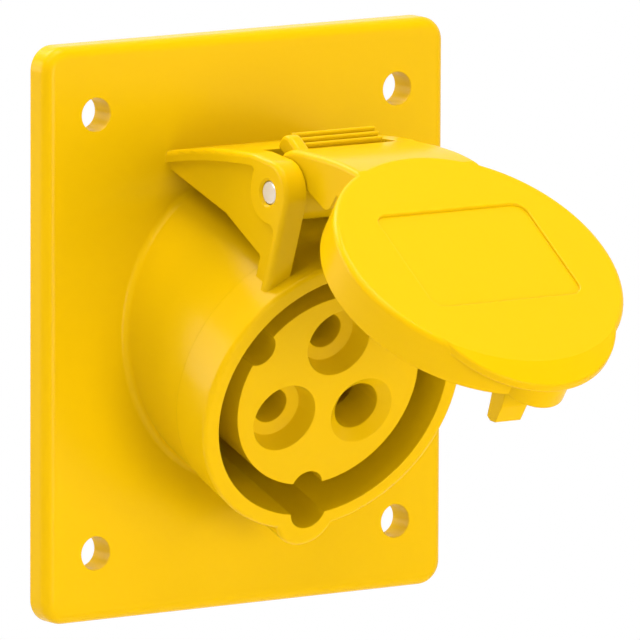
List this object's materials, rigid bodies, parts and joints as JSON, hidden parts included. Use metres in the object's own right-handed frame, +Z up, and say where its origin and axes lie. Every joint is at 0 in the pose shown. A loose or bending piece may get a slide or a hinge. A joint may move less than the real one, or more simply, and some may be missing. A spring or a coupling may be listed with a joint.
{
  "type": "industrial panel socket",
  "caption": "Sloping flanged panel socket for industrial plugs, with round shrouded contacts, keyway and a sprung hinged lid, shown open.",
  "frame": {"origin": "centre of the flange's back face, in the plane that lies on the panel", "axes": "+Y into the panel, -Y towards the user, +Z up, +X to the right when the socket is seen from the front"},
  "size_m": [0.0796, 0.1181, 0.096],
  "materials": {
    "yellow_plastic": "satin moulded polyamide",
    "insert_plastic": "satin moulded polyamide",
    "holder_plastic": "matt moulded",
    "contact_metal": "machined",
    "screw_steel": "zinc plated",
    "pin_steel": "bright drawn",
    "seal_rubber": "matt"
  },
  "bodies": {
    "housing": {"flange_housing": "yellow_plastic", "contact_insert": "insert_plastic", "rear_contact_holder": "holder_plastic", "top_contact_sleeve": "contact_metal", "left_contact_sleeve": "contact_metal", "earth_contact_sleeve": "contact_metal", "top_sleeve_spring": "pin_steel", "left_sleeve_spring": "pin_steel", "earth_sleeve_spring": "pin_steel", "top_terminal_screw": "screw_steel", "left_terminal_screw": "screw_steel", "earth_terminal_screw": "screw_steel", "insert_screw_left": "screw_steel", "insert_screw_right": "screw_steel", "holder_screw": "screw_steel", "hinge_pin": "pin_steel", "lid_spring": "pin_steel", "panel_seal": "seal_rubber"},
    "lid": {"hinged_lid": "yellow_plastic", "lid_seal": "seal_rubber"}
  },
  "joints": [
    {"name": "lid_hinge", "type": "hinge", "parent": "housing", "child": "lid", "pos_m": [0, -0.03466, 0.02604], "axis": [-1, 0, 0], "range_deg": [-74.8, 10]}
  ]
}
